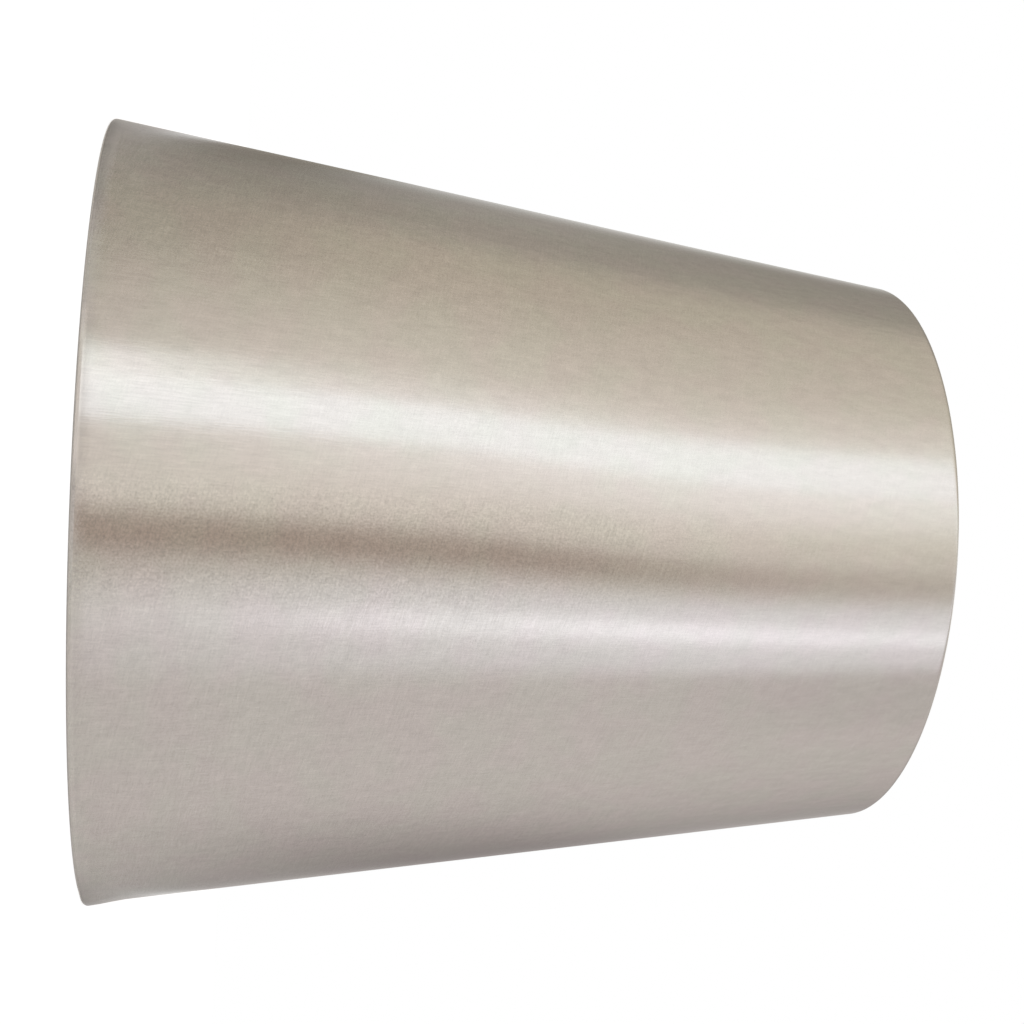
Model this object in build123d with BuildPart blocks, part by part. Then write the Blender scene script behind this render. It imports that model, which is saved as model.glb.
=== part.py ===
from build123d import *
import os

# Concentric pipe reducer: one conical tube wall, cut square at both ends, that is
# butt welded between two tubes of different size.
# Lengths are in millimetres. The axis is +Z, the face of the large end lies on
# Z = 0 and the small end is at the top.

# Driving dimensions
large_diameter = 101.6  # outside, at the large end
small_diameter = 76.2  # outside, at the small end
length = 104.8  # along the axis, from end face to end face
wall = 2.1  # square to the axis, so that both bores meet the tubes' bores
large_end_edge_radius = 0.5  # the outer edge at the large end, brushed round
small_end_edge_radius = 0.8  # the outer edge at the small end, brushed rounder
inner_edge_radius = 0.3  # deburred, at both ends

large_radius = large_diameter / 2
small_radius = small_diameter / 2

os.makedirs("parts", exist_ok=True)

# Reducer: the section of the wall turned about the axis, then its edges rounded
with BuildPart() as reducer:
    with BuildSketch(Plane.XZ) as wall_section:
        with BuildLine() as wall_outline:
            Polyline(
                (large_radius, 0),
                (small_radius, length),
                (small_radius - wall, length),
                (large_radius - wall, 0),
                close=True,
            )
        make_face()
    revolve(axis=Axis.Z)
    large_end, small_end = reducer.faces().filter_by(Axis.Z).sort_by(Axis.Z)
    fillet(large_end.outer_wire().edge(), radius=large_end_edge_radius)
    large_end, small_end = reducer.faces().filter_by(Axis.Z).sort_by(Axis.Z)
    fillet(small_end.outer_wire().edge(), radius=small_end_edge_radius)
    end_faces = reducer.faces().filter_by(Axis.Z)
    fillet([face.inner_wires()[0].edge() for face in end_faces], radius=inner_edge_radius)

reducer.part.label = "reducer"
export_step(reducer.part, "parts/reducer.step")
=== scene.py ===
import math

import bpy
from bpy.props import FloatProperty, FloatVectorProperty, IntProperty, PointerProperty
from mathutils import Matrix, Vector


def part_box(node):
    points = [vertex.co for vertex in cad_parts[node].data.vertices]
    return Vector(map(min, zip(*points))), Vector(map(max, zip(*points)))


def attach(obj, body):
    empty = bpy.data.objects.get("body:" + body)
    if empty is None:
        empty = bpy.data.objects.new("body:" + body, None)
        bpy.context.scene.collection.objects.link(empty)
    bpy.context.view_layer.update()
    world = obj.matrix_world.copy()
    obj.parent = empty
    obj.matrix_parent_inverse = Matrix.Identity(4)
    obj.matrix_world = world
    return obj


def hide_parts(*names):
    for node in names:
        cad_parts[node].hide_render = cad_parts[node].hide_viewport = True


bl_info = {
    "name": "Concentric Pipe Reducer",
    "version": (1, 0, 0),
    "blender": (4, 5, 0),
    "location": "3D View > Sidebar > Reducer",
    "description": "A brushed stainless cone between two tube sizes, with its studio",
    "category": "Add Mesh",
}

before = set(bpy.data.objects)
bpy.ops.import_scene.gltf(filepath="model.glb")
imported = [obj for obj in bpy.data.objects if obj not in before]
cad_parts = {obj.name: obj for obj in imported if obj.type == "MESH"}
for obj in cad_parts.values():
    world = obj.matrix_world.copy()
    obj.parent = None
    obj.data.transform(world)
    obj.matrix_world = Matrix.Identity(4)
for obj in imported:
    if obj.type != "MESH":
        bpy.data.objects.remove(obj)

NODE = "reducer"
BODY = "root"
CAD_LOW, CAD_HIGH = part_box(NODE)
MM = 0.001

# The wall's mesh

ON_RING = 0.02 * MM
MERGED = 0.001 * MM
BEVEL_SEGMENTS = 5
BESIDE_RIM = 0.15 * MM
SMOOTH_ANGLE = math.radians(35)

# Places where rolling left the wall in or out: azimuth, share of the length, shift and reach

PUSHES = (
    (38, 0.27, 0.25 * MM, 44 * MM),
    (-18, 0.27, -0.25 * MM, 44 * MM),
    (38, 0.73, -0.25 * MM, 40 * MM),
    (-18, 0.73, 0.25 * MM, 40 * MM),
)
PUSHED_SPOT = 2 * MM
FLARE_AZIMUTH = -74
FLARE_SHIFT = 0.3 * MM
FLARE_REACH = 5 * MM
FLARED_SPOT = 3 * MM

# The wall's material slots, and the share of each outer edge's radius that deburring reached

OUTSIDE, BORE, END_FACE, RIM = range(4)
LARGE_RIM = 0.4
SMALL_RIM = 0.3
FLAT_FACE = 0.95

# Floor and camera, which was fitted to the photo's outline

FLOOR_RADIUS = 40.0
FLOOR_DROP = 0.00002
SENSOR_WIDTH = 36
LENS = 58.239
LENS_SHIFT = (-0.09795, 0.09538)
CAMERA_PLACE = (0, -0.229588, 0.016412)
CAMERA_FORWARD = (0.04167234, 0.97334526, 0.225527)
CAMERA_RIGHT = (-0.04997704, -0.22340984, 0.97344252)


# Sizes and colours that a user would change


class ReducerSizes(bpy.types.PropertyGroup):
    """Sizes of the cone's wall and of its mesh"""

    large_diameter: FloatProperty(
        name="Large End",
        description="Outside diameter at the large end",
        default=0.1016,
        unit="LENGTH",
    )
    small_diameter: FloatProperty(
        name="Small End",
        description="Outside diameter at the small end",
        default=0.0762,
        unit="LENGTH",
    )
    length: FloatProperty(
        name="Length",
        description="From end face to end face",
        default=CAD_HIGH.z - CAD_LOW.z,
        unit="LENGTH",
    )
    wall: FloatProperty(
        name="Wall",
        description="Thickness, square to the axis",
        default=0.0021,
        unit="LENGTH",
    )
    large_edge: FloatProperty(
        name="Large End's Edge",
        description="Radius of the outer edge at the large end",
        default=0.0005,
        unit="LENGTH",
    )
    small_edge: FloatProperty(
        name="Small End's Edge",
        description="Radius of the outer edge at the small end",
        default=0.0008,
        unit="LENGTH",
    )
    inner_edge: FloatProperty(
        name="Inner Edges",
        description="Radius of the deburred edges of the passage",
        default=0.0003,
        unit="LENGTH",
    )
    segments: IntProperty(
        name="Segments",
        description="Faces round the cone",
        default=384,
        min=64,
    )
    rings: IntProperty(
        name="Rings",
        description="Faces along the outside of the cone",
        default=72,
        min=8,
    )


class ReducerFinish(bpy.types.PropertyGroup):
    """Colours and roughness of the steel and of the studio"""

    steel: FloatVectorProperty(
        name="Steel",
        description="Reflected colour of the brushed outside",
        default=(0.64, 0.62, 0.59),
        subtype="COLOR",
        size=3,
        min=0,
        max=1,
    )
    roughness: FloatProperty(
        name="Roughness",
        description="Roughness of the brushed outside",
        default=0.2,
        subtype="FACTOR",
    )
    floor: FloatVectorProperty(
        name="Floor",
        description="Colour of the studio floor",
        default=(0.86, 0.86, 0.86),
        subtype="COLOR",
        size=3,
        min=0,
        max=1,
    )


# Shader maths


class Wire:
    """A node's output that can stand in an expression, where each operator adds a Math node"""

    def __init__(self, sheet, socket):
        self.sheet = sheet
        self.socket = socket

    def __add__(self, other):
        return self.sheet.maths("ADD", self, other)

    def __radd__(self, other):
        return self.sheet.maths("ADD", other, self)

    def __sub__(self, other):
        return self.sheet.maths("SUBTRACT", self, other)

    def __rsub__(self, other):
        return self.sheet.maths("SUBTRACT", other, self)

    def __mul__(self, other):
        return self.sheet.maths("MULTIPLY", self, other)

    def __rmul__(self, other):
        return self.sheet.maths("MULTIPLY", other, self)

    def __neg__(self):
        return self.sheet.maths("MULTIPLY", self, -1.0)

    def __abs__(self):
        return self.sheet.maths("ABSOLUTE", self)

    def out(self, name):
        """Another output of the same node"""
        return Wire(self.sheet, self.socket.node.outputs[name])

    def ramp(self, start, end, at_start=0.0, at_end=1.0):
        """Smooth step from at_start to at_end, which falls off upwards where start is above end"""
        return self.sheet.node(
            "ShaderNodeMapRange",
            {"interpolation_type": "SMOOTHSTEP"},
            {
                "Value": self,
                "From Min": start,
                "From Max": end,
                "To Min": at_start,
                "To Max": at_end,
            },
        )


class Sheet:
    """A node tree that is filled from Python"""

    def __init__(self, tree):
        self.tree = tree
        tree.nodes.clear()

    def node(self, kind, settings=None, inputs=None, output=0):
        """Adds a node, sets its settings, then its sockets, and returns one of its outputs, if any"""
        made = self.tree.nodes.new(kind)
        for name, value in (settings or {}).items():
            setattr(made, name, value)
        for name, value in (inputs or {}).items():
            socket = made.inputs[name]
            if isinstance(value, Wire):
                self.tree.links.new(value.socket, socket)
            else:
                socket.default_value = value
        return Wire(self, made.outputs[output]) if made.outputs else None

    def maths(self, operation, *terms):
        """A Math node on those terms"""
        return self.node("ShaderNodeMath", {"operation": operation}, dict(enumerate(terms)))

    def vector(self, operation, *terms, output=0):
        """A Vector Math node on those terms"""
        inputs = dict(enumerate(terms))
        return self.node("ShaderNodeVectorMath", {"operation": operation}, inputs, output)

    def mix(self, factor, first, second):
        """Colour that goes from first to second as factor goes from 0 to 1"""
        return self.node(
            "ShaderNodeMix",
            {"data_type": "RGBA"},
            {0: factor, 6: rgba(first), 7: rgba(second)},
            output=2,
        )


def rgba(colour):
    """A colour as a socket takes it, or the wire itself"""
    return colour if isinstance(colour, Wire) else (*colour[:3], 1.0)


def new_material(name):
    """An empty node material and its sheet"""
    material = bpy.data.materials.new(name)
    material.use_nodes = True
    return material, Sheet(material.node_tree)


def object_place(sheet):
    """Where a point lies on its object"""
    return sheet.node("ShaderNodeTexCoord", output="Object")


def grains(sheet, place, size, detail=2, turn=(0, 0, 0)):
    """Noise from about 0.2 to 0.8, in grains of that size in mm along x, y and z, all turned"""
    measured = sheet.node(
        "ShaderNodeMapping",
        {"vector_type": "TEXTURE"},
        {"Vector": place, "Rotation": turn, "Scale": [side * MM for side in size]},
    )
    return sheet.node(
        "ShaderNodeTexNoise", inputs={"Vector": measured, "Scale": 1.0, "Detail": detail}
    )


def level(sheet, place):
    """A point's offset from the axis, without its height"""
    return sheet.vector("MULTIPLY", place, (1, 1, 0))


def outward(sheet, place):
    """The way out from the axis at a point, one unit long"""
    return sheet.vector("NORMALIZE", level(sheet, place))


def unrolled(sheet, radius):
    """Where a point lies on a straight tube of that radius, so that patterns follow the cone"""
    place = object_place(sheet)
    upward = sheet.vector("MULTIPLY", place, (0, 0, 1))
    return sheet.vector("MULTIPLY_ADD", outward(sheet, place), (radius, radius, 0), upward)


def direction(azimuth):
    """The level direction at an azimuth, which is measured in degrees from -Y towards -X"""
    turn = math.radians(azimuth)
    return -math.sin(turn), -math.cos(turn), 0


def mean_radius(sizes):
    """Radius of the outside halfway along the cone"""
    return (sizes.large_diameter + sizes.small_diameter) / 4


# Finishes of the steel


def steel(sheet, colour, shade, roughness, bumps, more=None):
    """Metal of that colour times shade. Bumps are their height, strength and depth"""
    height, strength, depth = bumps
    shaded = sheet.node(
        "ShaderNodeVectorMath", {"operation": "SCALE"}, {0: colour, "Scale": shade}
    )
    normal = sheet.node(
        "ShaderNodeBump", inputs={"Height": height, "Strength": strength, "Distance": depth}
    )
    inputs = {
        "Base Color": shaded,
        "Metallic": 1.0,
        "Roughness": roughness,
        "Normal": normal,
    }
    shader = sheet.node("ShaderNodeBsdfPrincipled", inputs=inputs | (more or {}))
    sheet.node("ShaderNodeOutputMaterial", inputs={"Surface": shader})


def brushed_outside(sizes, finish):
    """Belt-brushed steel: hairlines round the cone, streaks along it, and a sandy grain"""
    material, sheet = new_material("brushed_outside")
    length = sizes.length
    place = unrolled(sheet, mean_radius(sizes))
    along = sheet.node("ShaderNodeSeparateXYZ", inputs={0: place}).out("Z")

    def marks(long, wide, lean, detail=2):
        """Hairlines that run round the cone and lean towards the small end, centred on zero"""
        return grains(sheet, place, (long, long, wide), detail, (0, math.radians(lean), 0)) - 0.5

    def specks(wide, tall, detail=2):
        """Marks of that width round the cone and that height along it, centred on zero"""
        return grains(sheet, place, (wide, wide, tall), detail) - 0.5

    def side(azimuth, fades, full):
        """1 on the side that faces that azimuth. Fades and full are cosines of the angle from it"""
        toward = direction(azimuth)
        facing = sheet.vector("DOT_PRODUCT", outward(sheet, place), toward, output="Value")
        return facing.ramp(fades, full)

    # What the marks look like, in mm and degrees
    hairlines = marks(3.5, 0.15, 16)
    crossing = marks(2.2, 0.17, 32)
    crosswise = marks(1.3, 0.15, 10, 1)
    scratches = marks(3, 0.3, 19)
    streaks = specks(0.18, 3)
    fibres = specks(0.15, 1.3, 1)
    grain = specks(0.17, 0.17, 1)
    pits = specks(0.25, 0.25)
    smears = specks(1, 2.5)
    clouds = grains(sheet, place, (6, 6, 6))

    # Where they show
    near_large_end = along.ramp(0.55 * length, 0.1 * length)
    away = along.ramp(0.08 * length, 0.35 * length)
    streaked = near_large_end * side(20, 0.92, 0.985)
    polished = side(19, 0.95, 0.99) * (0.45 + 0.55 * near_large_end)
    worked = along.ramp(0.9 * length, 0.35 * length, 0.45, 1.0) * (1.0 - 0.6 * polished)
    pitted = side(-3, 0.985, 0.998) * along.ramp(0.95 * length, 0.4 * length)
    scuffed = side(-0.5, 0.992, 0.998) * clouds.ramp(0.45, 0.6)
    scuffed = scuffed * along.ramp(0.15 * length, 0.3 * length)
    scuffed = scuffed * along.ramp(0.75 * length, 0.5 * length)
    sandy = side(55, 0.7, 0.95)
    smeared = 0.13 + 0.06 * sandy

    # Close to the large rim: a painted highlight in front and painted shade at the upper side, in the
    # base colour, standing in for reflections
    painted_rim_highlight = along.ramp(0.9 * MM, 0.4 * MM)
    painted_rim_highlight = painted_rim_highlight * (0.35 * side(15, 0.978, 0.992) + 0.12 * side(-32, 0.8, 0.95))
    painted_rim_shade = along.ramp(1.8 * MM, 0.6 * MM) * (0.22 * side(55, 0.94, 0.98))

    shade = 1.0 + worked * (0.16 * hairlines + 0.08 * crossing + 0.19 * grain)
    shade = shade + worked * (0.20 * fibres + 0.14 * crosswise)
    shade = shade + 0.18 * streaked * streaks + smeared * smears + 0.17 * sandy * grain
    shade = shade + 0.45 * scuffed * scratches + 0.55 * pitted * pits
    # Adds the painted highlight and takes off the painted shade beside the large rim
    shade = shade + painted_rim_highlight - painted_rim_shade
    red, green, blue = finish.steel
    pinkish = (red * 1.008, green * 0.992, blue)
    greenish = (red * 0.992, green * 1.008, blue * 0.992)
    tint = sheet.mix(clouds.ramp(0.35, 0.65), pinkish, greenish)
    roughness = finish.roughness + 0.05 * (clouds - 0.5)
    height = worked * (0.002 * hairlines + 0.008 * away * scratches + 0.003 * pits)
    height = height + 0.003 * streaked * streaks
    brushed = {
        "Anisotropic": 0.7,
        "Anisotropic Rotation": 0.25,
        "Specular Tint": (0.6, 0.6, 0.6, 1),
    }
    steel(sheet, tint, shade, roughness, (height, 1.0, MM), brushed)
    return material


def drawn_bore(sizes, finish):
    """Inside of the cone, with faint marks from forming along it"""
    material, sheet = new_material("drawn_bore")
    place = unrolled(sheet, mean_radius(sizes))
    marks = grains(sheet, place, (0.35, 0.35, 14), 3)
    clouds = grains(sheet, place, (8, 8, 10))
    shade = 0.93 + 0.08 * marks + 0.06 * clouds
    roughness = 0.36 + 0.12 * (marks - 0.5)
    bumps = (marks + 0.5 * clouds, 0.2, 0.02 * MM)
    steel(sheet, tuple(finish.steel), shade, roughness, bumps)
    return material


def faced_ends(finish):
    """End faces, cut square, with fine rings from the tool"""
    material, sheet = new_material("faced_ends")
    place = object_place(sheet)
    ring_width = 0.09 * MM
    radius = sheet.vector("LENGTH", level(sheet, place), output="Value")
    rings = sheet.node(
        "ShaderNodeTexNoise",
        {"noise_dimensions": "1D"},
        {"W": radius, "Scale": 1 / ring_width, "Detail": 2.0},
    )
    grain = grains(sheet, place, (0.5, 0.5, 0.5))
    shade = 0.92 + 0.1 * rings + 0.06 * grain
    roughness = 0.3 + 0.1 * (grain - 0.5)
    steel(sheet, tuple(finish.steel), shade, roughness, (rings, 0.3, 0.02 * MM))
    return material


def deburred_rims(finish):
    """Rounded rims, painted brighter than the wall as a highlight, and rougher, with small nicks from
    deburring
    """
    material, sheet = new_material("deburred_rims")
    nicks = grains(sheet, object_place(sheet), (0.6, 0.6, 0.2), 3)
    # Colour lifted above the wall's: a painted highlight on the rims, with the nicks as real marks
    shade = 1.05 + 0.3 * nicks
    roughness = 0.45 + 0.2 * (nicks - 0.5)
    steel(sheet, tuple(finish.steel), shade, roughness, (nicks, 0.5, 0.03 * MM))
    return material


# Modelling by hand, from code


def deselect():
    """Nothing selected, in object mode"""
    if bpy.context.object and bpy.context.object.mode != "OBJECT":
        bpy.ops.object.mode_set(mode="OBJECT")
    bpy.ops.object.select_all(action="DESELECT")


def pick(piece, kind, wanted):
    """Selects the piece's vertices or edges for which wanted says yes, and enters edit mode"""
    bpy.ops.object.mode_set(mode="EDIT")
    bpy.ops.mesh.select_mode(type={"vertices": "VERT", "edges": "EDGE"}[kind])
    bpy.ops.mesh.select_all(action="DESELECT")
    bpy.ops.object.mode_set(mode="OBJECT")
    for part in getattr(piece.data, kind):
        part.select = wanted(part)
    bpy.ops.object.mode_set(mode="EDIT")


def radius_of(point):
    """A point's distance from the axis"""
    return math.hypot(point.x, point.y)


def edge_ring(piece, height, radius):
    """A test for the edges that run round the axis at that height and radius"""
    points = piece.data.vertices

    def is_there(point):
        return abs(point.z - height) < ON_RING and abs(radius_of(point) - radius) < ON_RING

    return lambda edge: all(is_there(points[i].co) for i in edge.vertices)


def long_edges(piece, least, radius, inside):
    """A test for the edges at least that long, on the side of that mean radius that is asked for"""
    points = piece.data.vertices

    def runs_along(edge):
        a, b = (points[i].co for i in edge.vertices)
        in_bore = (radius_of(a) + radius_of(b)) / 2 < radius
        return (a - b).length > least and in_bore == inside

    return runs_along


class REDUCER_OT_wall(bpy.types.Operator):
    """Models the conical wall in place of the plain solid"""

    bl_idname = "reducer.wall"
    bl_label = "Wall"

    def execute(self, context):
        sizes = context.scene.reducer_sizes
        finish = context.scene.reducer_finish
        large = sizes.large_diameter / 2
        small = sizes.small_diameter / 2
        length = sizes.length
        deselect()
        bpy.ops.mesh.primitive_cone_add(
            vertices=sizes.segments,
            radius1=large,
            radius2=small,
            depth=length,
            end_fill_type="NOTHING",
            location=(0, 0, length / 2),
        )
        wall = context.object
        wall.name = "reducer_wall"
        wall.data.name = "reducer_wall"
        bpy.ops.object.transform_apply(location=True, rotation=True, scale=True)
        self.close_section(wall, large, small, sizes)
        self.round_edges(wall, large, small, sizes)
        self.add_rings(wall, sizes)
        self.push_out_of_round(wall, large, small, length)
        self.check_closed(wall)
        self.finish_faces(wall, sizes, finish)
        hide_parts(NODE)
        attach(wall, BODY)
        return {"FINISHED"}

    def close_section(self, wall, large, small, sizes):
        """Turns the outer skin into a wall: small end's face, bore, then large end's face"""
        bore_small = small - sizes.wall
        bore_large = large - sizes.wall
        pick(wall, "edges", edge_ring(wall, sizes.length, small))
        bpy.ops.mesh.extrude_edges_move()
        share = bore_small / small
        bpy.ops.transform.resize(value=(share, share, 1))
        bpy.ops.mesh.extrude_edges_move(
            TRANSFORM_OT_translate={"value": (0, 0, -sizes.length)}
        )
        share = bore_large / bore_small
        bpy.ops.transform.resize(value=(share, share, 1))
        bpy.ops.object.mode_set(mode="OBJECT")
        outer = edge_ring(wall, 0, large)
        inner = edge_ring(wall, 0, bore_large)
        pick(wall, "edges", lambda edge: outer(edge) or inner(edge))
        bpy.ops.mesh.bridge_edge_loops()
        bpy.ops.mesh.select_all(action="SELECT")
        bpy.ops.mesh.remove_doubles(threshold=MERGED)
        bpy.ops.mesh.normals_make_consistent(inside=False)
        bpy.ops.object.mode_set(mode="OBJECT")

    def round_edges(self, wall, large, small, sizes):
        """Rounds the four rims, each with its own radius"""
        lean = math.atan2(large - small, sizes.length)
        acute = math.pi / 2 - lean
        obtuse = math.pi / 2 + lean
        rims = (
            (0, large, sizes.large_edge, acute),
            (sizes.length, small, sizes.small_edge, obtuse),
            (0, large - sizes.wall, sizes.inner_edge, obtuse),
            (sizes.length, small - sizes.wall, sizes.inner_edge, acute),
        )
        for height, radius, rounding, corner in rims:
            pick(wall, "edges", edge_ring(wall, height, radius))
            reach = rounding / math.tan(corner / 2)
            bpy.ops.mesh.bevel(offset=reach, segments=BEVEL_SEGMENTS, profile=0.5)
            bpy.ops.object.mode_set(mode="OBJECT")

    def add_rings(self, wall, sizes):
        """Divides the outside and the bore along the axis, with a ring close to each rounded rim"""
        above_large_rim = sizes.large_edge + BESIDE_RIM
        below_small_rim = sizes.length - sizes.small_edge - BESIDE_RIM
        for height in (above_large_rim, below_small_rim):
            bpy.ops.object.mode_set(mode="EDIT")
            bpy.ops.mesh.select_all(action="SELECT")
            bpy.ops.mesh.bisect(plane_co=(0, 0, height), plane_no=(0, 0, 1))
            bpy.ops.object.mode_set(mode="OBJECT")
        middle = mean_radius(sizes) - sizes.wall / 2
        for cuts, inside in ((sizes.rings - 1, False), (sizes.rings // 3 - 1, True)):
            pick(wall, "edges", long_edges(wall, sizes.length / 2, middle, inside))
            bpy.ops.mesh.subdivide(number_cuts=cuts)
            bpy.ops.object.mode_set(mode="OBJECT")

    def push_out_of_round(self, wall, large, small, length):
        """Leaves the wall as rolling left it: a little in or out, and flared at one spot of the rim"""

        def on_wall(azimuth, height):
            x, y, _ = direction(azimuth)
            radius = large + (small - large) * height / length
            return Vector((radius * x, radius * y, height))

        for azimuth, share, shift, reach in PUSHES:
            spot = on_wall(azimuth, share * length)
            pick(wall, "vertices", lambda point: (point.co - spot).length < PUSHED_SPOT)
            self.push(azimuth, shift, reach)
        rim = on_wall(FLARE_AZIMUTH, 0)
        pick(
            wall,
            "vertices",
            lambda point: (point.co - rim).length < FLARED_SPOT and point.co.z < MM,
        )
        self.push(FLARE_AZIMUTH, FLARE_SHIFT, FLARE_REACH)

    def push(self, azimuth, shift, reach):
        """Moves what is selected outward by shift, and the wall round it less and less within reach"""
        x, y, _ = direction(azimuth)
        bpy.ops.transform.translate(
            value=(shift * x, shift * y, 0),
            use_proportional_edit=True,
            proportional_edit_falloff="SMOOTH",
            proportional_size=reach,
        )
        bpy.ops.object.mode_set(mode="OBJECT")

    def check_closed(self, wall):
        """Stops if the wall has a hole or a loose edge"""
        bpy.ops.object.mode_set(mode="EDIT")
        bpy.ops.mesh.select_mode(type="EDGE")
        bpy.ops.mesh.select_all(action="DESELECT")
        bpy.ops.mesh.select_non_manifold()
        bpy.ops.object.mode_set(mode="OBJECT")
        if any(edge.select for edge in wall.data.edges):
            raise RuntimeError("The wall isn't closed")

    def finish_faces(self, wall, sizes, finish):
        """Gives the outside, bore, end faces and rims their own steel, and shades them smooth"""
        finishes = {
            OUTSIDE: brushed_outside(sizes, finish),
            BORE: drawn_bore(sizes, finish),
            END_FACE: faced_ends(finish),
            RIM: deburred_rims(finish),
        }
        for slot in sorted(finishes):
            wall.data.materials.append(finishes[slot])
        lowest = LARGE_RIM * sizes.large_edge
        highest = sizes.length - SMALL_RIM * sizes.small_edge
        for face in wall.data.polygons:
            turned_out = face.normal.x * face.center.x + face.normal.y * face.center.y > 0
            if abs(face.normal.z) > FLAT_FACE:
                face.material_index = END_FACE
            elif face.center.z <= lowest or face.center.z > highest:
                face.material_index = RIM
            else:
                face.material_index = OUTSIDE if turned_out else BORE
        deselect()
        wall.select_set(True)
        bpy.context.view_layer.objects.active = wall
        bpy.ops.object.shade_smooth_by_angle(angle=SMOOTH_ANGLE)


# Studio


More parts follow.
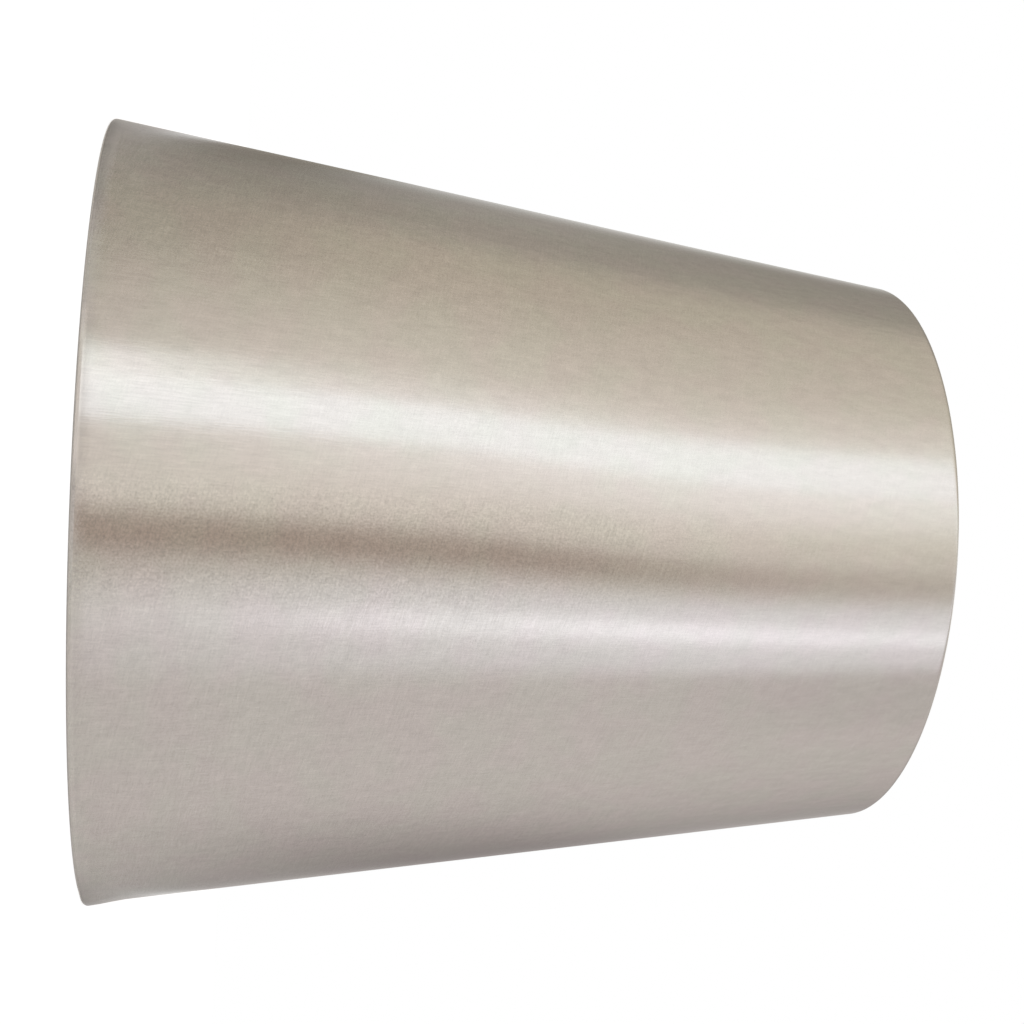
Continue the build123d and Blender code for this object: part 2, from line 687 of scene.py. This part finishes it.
class REDUCER_OT_stage(bpy.types.Operator):
    """Sets up the floor, the studio's light and the camera"""

    bl_idname = "reducer.stage"
    bl_label = "Studio"

    def execute(self, context):
        self.lay_floor(context)
        self.light_studio(context)
        self.place_camera(context)
        context.scene.view_settings.view_transform = "Standard"
        return {"FINISHED"}

    def lay_floor(self, context):
        """Pale floor just below the part, which glows white where it is seen or mirrored from afar"""
        finish = context.scene.reducer_finish
        deselect()
        bpy.ops.mesh.primitive_circle_add(
            vertices=96, radius=FLOOR_RADIUS, fill_type="NGON", location=(0, 0, -FLOOR_DROP)
        )
        floor = context.object
        floor.name = "studio_floor"
        bpy.ops.object.transform_apply(location=True, rotation=True, scale=True)
        material, sheet = new_material("pale_floor")
        rays = sheet.node("ShaderNodeLightPath")
        distance = sheet.vector("LENGTH", object_place(sheet), output="Value")
        mirrored = rays.out("Is Glossy Ray") * distance.ramp(0.2, 0.5, 0.1, 1.0)
        seen = sheet.maths("MAXIMUM", rays.out("Is Camera Ray"), mirrored)
        seen = sheet.maths("MAXIMUM", seen, rays.out("Is Transmission Ray"))
        plain = sheet.node("ShaderNodeBsdfDiffuse", inputs={"Color": rgba(finish.floor)})
        shaded = sheet.node("ShaderNodeBsdfDiffuse", inputs={"Color": (0.3, 0.3, 0.3, 1)})
        glow = sheet.node("ShaderNodeEmission", inputs={"Strength": 0.86})
        white = sheet.node("ShaderNodeAddShader", inputs={0: shaded, 1: glow})
        shader = sheet.node("ShaderNodeMixShader", inputs={0: seen, 1: plain, 2: white})
        sheet.node("ShaderNodeOutputMaterial", inputs={"Surface": shader})
        floor.data.materials.append(material)

    def light_studio(self, context):
        """White backdrop for the camera, and pale and dark cards all round for the steel to mirror"""
        world = bpy.data.worlds.new("studio")
        context.scene.world = world
        world.use_nodes = True
        sheet = Sheet(world.node_tree)
        view = sheet.node("ShaderNodeTexCoord", output="Generated")
        toward = sheet.node("ShaderNodeSeparateXYZ", inputs={0: view})
        degrees = math.degrees(1)
        azimuth = sheet.maths("ARCTAN2", -toward.out("X"), -toward.out("Y")) * degrees
        height = sheet.maths("ARCSINE", toward.out("Z")) * degrees

        def card(centre, lean, half_width, softness):
            """1 on an upright strip of the studio at that azimuth, which leans with height"""
            off = abs(azimuth - (centre + lean * height))
            return off.ramp(half_width + softness, half_width)

        right_side = azimuth.ramp(-25, 25)
        high = height.ramp(8, 26)
        low = height.ramp(2, 14, 1.0, 0.0) * (0.08 + 0.17 * right_side)
        dull_side = azimuth.ramp(-88, -128) * height.ramp(2.5, 9) * height.ramp(19, 12)
        paler = azimuth.ramp(120, 140) * height.ramp(22, 9, 0.3, 1.0) * height.ramp(3, 7)
        edge_light = (azimuth - 0.4 * height).ramp(136, 160) * height.ramp(4.5, 7)
        wide = card(-26, -0.31, 10, 9) * (0.12 + 0.88 * high) * height.ramp(29, 36, 1.0, 0.85)
        second = card(-20.5, -0.45, 1.5, 4.5) * height.ramp(14, 21)
        second = second * height.ramp(27, 35, 1.0, 0.55)
        dark_gap = card(-0.7, -0.33, 2, 6.8) * height.ramp(18, 38, 1.0, 0.35)
        behind = abs(azimuth).ramp(165, 178) * height.ramp(5, 15)
        core = (1.37, 1.40, 1.42)
        glow = (1.06, 1.01, 0.94)
        colour = sheet.mix(right_side, (0.74, 0.69, 0.67), (0.65, 0.58, 0.48))
        for mask, shade in (
            # The two sides, and the light that rims the upper edge
            (dull_side, (0.55, 0.50, 0.49)),
            (azimuth.ramp(68, 88) * height.ramp(12, 6), (0.56, 0.50, 0.41)),
            (azimuth.ramp(55, 80) * height.ramp(21, 28, 0.0, 0.35), (0.85, 0.79, 0.70)),
            (azimuth.ramp(101, 121) * height.ramp(5, 16, 0.5, 1.0), (0.51, 0.47, 0.41)),
            (paler, (0.66, 0.62, 0.56)),
            (edge_light, (1.00, 0.98, 0.94)),
            # Glow round the main highlight, dimmed near the horizon, then its bright core
            (card(27, 0, 6, 64), (0.95, 0.88, 0.80)),
            (card(48, 0, 6, 14) * height.ramp(26, 35, 0.0, 0.5), glow),
            (card(28.5, 0, 5, 21) * (0.06 + 0.94 * high), (1.21, 1.17, 1.14)),
            (low, (0.0, 0.0, 0.0)),
            (card(32.2, 0, 5, 3.5), core),
            (card(38.5, 0, 3, 3.5) * height.ramp(25, 31), core),
            (card(40, 0, 4.5, 3.5) * height.ramp(12, 7), (1.60, 1.63, 1.65)),
            (card(6, 0, 3, 5) * height.ramp(14, 8, 0.0, 0.5), (1.05, 0.98, 0.92)),
            (card(35, 0, 10, 4) * height.ramp(33, 39, 0.0, 0.35), glow),
            # Second highlight, and the dark gap between the two
            (card(-62, 0, 14, 12) * height.ramp(27, 34, 0.0, 0.7), (0.62, 0.57, 0.56)),
            (wide, (1.02, 0.99, 1.03)),
            (second, (1.56, 1.54, 1.64)),
            (card(-12, 0, 3, 7) * height.ramp(20, 9, 0.0, 0.5), (0.50, 0.43, 0.37)),
            (dark_gap, (0.42, 0.33, 0.265)),
            # Backdrop behind the part
            (behind, (1.10, 1.08, 1.05)),
        ):
            colour = sheet.mix(mask, colour, shade)
        studio = sheet.node("ShaderNodeBackground", inputs={"Color": colour, "Strength": 1.0})
        backdrop = sheet.node(
            "ShaderNodeBackground", inputs={"Color": (1, 1, 1, 1), "Strength": 1.0}
        )
        seen = sheet.node("ShaderNodeLightPath").out("Is Camera Ray")
        shader = sheet.node("ShaderNodeMixShader", inputs={0: seen, 1: studio, 2: backdrop})
        sheet.node("ShaderNodeOutputWorld", inputs={"Surface": shader})

    def place_camera(self, context):
        """Camera at the photo's angle, turned so that the part's axis runs across the picture"""
        data = bpy.data.cameras.new("camera")
        camera = bpy.data.objects.new("camera", data)
        context.scene.collection.objects.link(camera)
        data.sensor_width = SENSOR_WIDTH
        data.lens = LENS
        data.shift_x, data.shift_y = LENS_SHIFT
        data.clip_start = 0.01
        data.clip_end = 100
        forward = Vector(CAMERA_FORWARD)
        right = Vector(CAMERA_RIGHT)
        turned = Matrix((right, right.cross(forward), -forward)).transposed()
        camera.matrix_world = Matrix.Translation(CAMERA_PLACE) @ turned.to_4x4()
        context.scene.camera = camera


# Panel and main


class REDUCER_PT_panel(bpy.types.Panel):
    """Lists the reducer's pieces and its studio"""

    bl_idname = "REDUCER_PT_panel"
    bl_label = "Pipe Reducer"
    bl_space_type = "VIEW_3D"
    bl_region_type = "UI"
    bl_category = "Reducer"

    def draw(self, context):
        layout = self.layout
        for name in ReducerSizes.__annotations__:
            layout.prop(context.scene.reducer_sizes, name)
        for name in ReducerFinish.__annotations__:
            layout.prop(context.scene.reducer_finish, name)
        layout.operator(REDUCER_OT_wall.bl_idname)
        layout.operator(REDUCER_OT_stage.bl_idname)


CLASSES = (
    ReducerSizes,
    ReducerFinish,
    REDUCER_OT_wall,
    REDUCER_OT_stage,
    REDUCER_PT_panel,
)


def register():
    for cls in CLASSES:
        bpy.utils.register_class(cls)
    bpy.types.Scene.reducer_sizes = PointerProperty(type=ReducerSizes)
    bpy.types.Scene.reducer_finish = PointerProperty(type=ReducerFinish)


def unregister():
    del bpy.types.Scene.reducer_finish
    del bpy.types.Scene.reducer_sizes
    for cls in reversed(CLASSES):
        bpy.utils.unregister_class(cls)


def main():
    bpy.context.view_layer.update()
    register()
    bpy.ops.reducer.wall()
    bpy.ops.reducer.stage()


if __name__ == "__main__":
    main()
